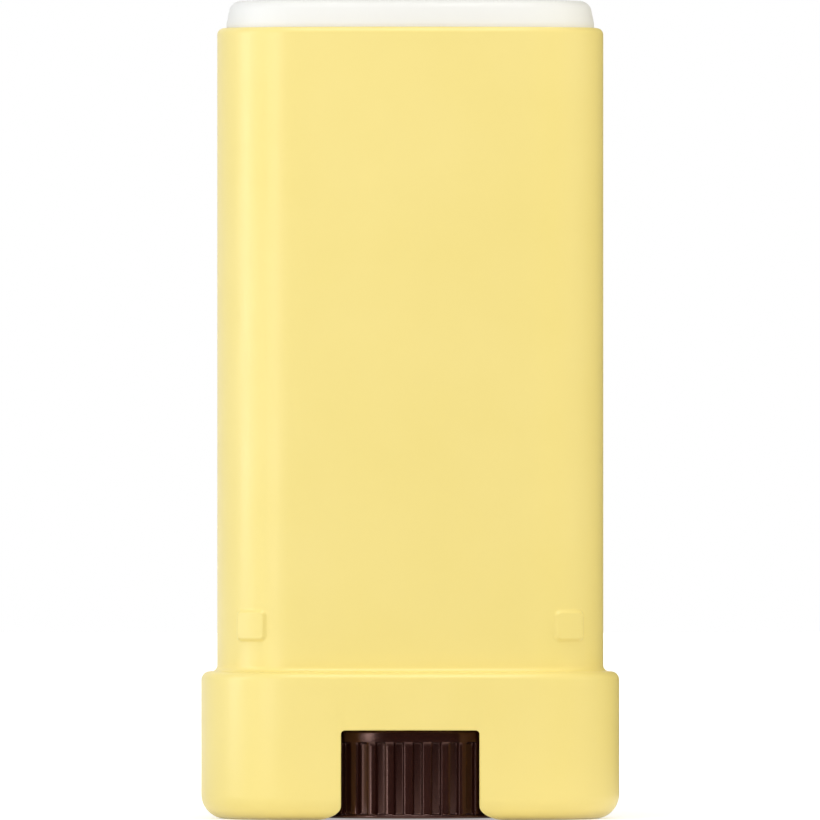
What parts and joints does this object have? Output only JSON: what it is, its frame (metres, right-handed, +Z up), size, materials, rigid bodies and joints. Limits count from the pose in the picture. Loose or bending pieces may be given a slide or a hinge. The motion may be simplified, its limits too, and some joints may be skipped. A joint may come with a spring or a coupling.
{
  "type": "sunscreen stick",
  "caption": "Uncapped flat-oval twist-up stick: a ribbed dial in the base turns a screw that raises the solid balm out of a slim barrel.",
  "frame": {"origin": "centre of the foot, on the surface that the stick stands on", "axes": "+Z up the barrel, X across the wide face, front window towards -Y"},
  "size_m": [0.034, 0.019, 0.0668],
  "materials": {
    "shell": "satin",
    "dial": "satin",
    "screw": "satin",
    "elevator": "satin",
    "balm": "matte"
  },
  "bodies": {
    "body": {"body": "shell"},
    "dial": {"dial": "dial", "spindle": "screw"},
    "carrier": {"elevator": "elevator", "balm": "balm"}
  },
  "joints": [
    {"name": "dial_turn", "type": "hinge", "parent": "body", "child": "dial", "pos_m": [0, 0, 0], "axis": [0, 0, -1], "range_deg": [0, 2700]},
    {"name": "elevator_rise", "type": "slide", "parent": "body", "child": "carrier", "axis": [0, 0, 1], "range_m": [0, 0.045]}
  ],
  "couplings": [
    {"joint": "dial_turn", "follows": "elevator_rise", "rad_per_m": 1047.2}
  ]
}
